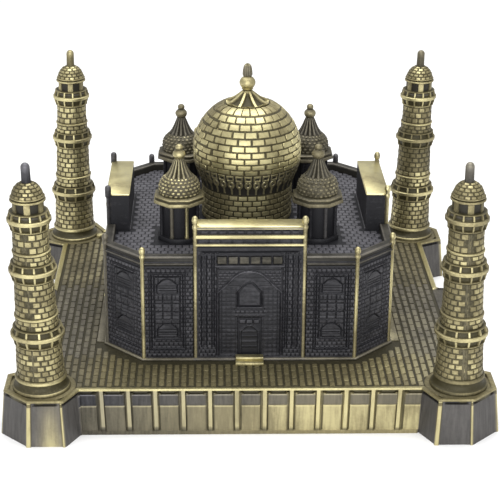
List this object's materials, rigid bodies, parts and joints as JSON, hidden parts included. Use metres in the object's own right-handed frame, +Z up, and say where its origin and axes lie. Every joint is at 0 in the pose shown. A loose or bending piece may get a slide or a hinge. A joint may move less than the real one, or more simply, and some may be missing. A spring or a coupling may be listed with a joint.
{
  "type": "miniature landmark model",
  "caption": "Desk souvenir: domed mausoleum with pointed-arch portals on a square walled terrace, with corner towers and roof kiosks, in antiqued cast metal.",
  "frame": {"origin": "centre of the underside, on the surface that the model stands on", "axes": "+Z up, -Y towards the front portal with the two-tread step, +X to the right seen from the front"},
  "size_m": [0.1308, 0.1308, 0.0844],
  "materials": {
    "antique_brass": "cast, dark patina in the hollows and brushed to pale brass on the raised edges",
    "pale_brass": "brushed bright",
    "dark_patina": "blue-black antiqued casting with brushed lines",
    "grey_pin": "dark grey plated, satin",
    "steel": "zinc plated",
    "felt": "black felt"
  },
  "bodies": {
    "root": {"terrace_plinth": "antique_brass", "base_plate": "steel", "base_felt": "felt", "mausoleum_shell": "dark_patina", "dome_drum": "antique_brass", "main_dome": "antique_brass", "lotus_cap": "pale_brass", "dome_finial": "pale_brass", "dome_stud": "steel", "dome_nut": "steel", "tower_screw_front_left": "steel", "mausoleum_screw_front_left": "steel", "tower_front_left_shaft": "antique_brass", "tower_front_left_cupola": "antique_brass", "tower_front_left_pin": "grey_pin", "kiosk_front_left": "antique_brass", "tower_screw_front_right": "steel", "mausoleum_screw_front_right": "steel", "tower_front_right_shaft": "antique_brass", "tower_front_right_cupola": "antique_brass", "tower_front_right_pin": "grey_pin", "kiosk_front_right": "antique_brass", "tower_screw_back_left": "steel", "mausoleum_screw_back_left": "steel", "tower_back_left_shaft": "antique_brass", "tower_back_left_cupola": "antique_brass", "tower_back_left_pin": "grey_pin", "kiosk_back_left": "antique_brass", "tower_screw_back_right": "steel", "mausoleum_screw_back_right": "steel", "tower_back_right_shaft": "antique_brass", "tower_back_right_cupola": "antique_brass", "tower_back_right_pin": "grey_pin", "kiosk_back_right": "antique_brass", "portal_front": "dark_patina", "portal_right": "dark_patina", "portal_back": "dark_patina", "portal_left": "dark_patina", "door_step_front": "antique_brass", "door_step_back": "antique_brass"}
  },
  "joints": []
}
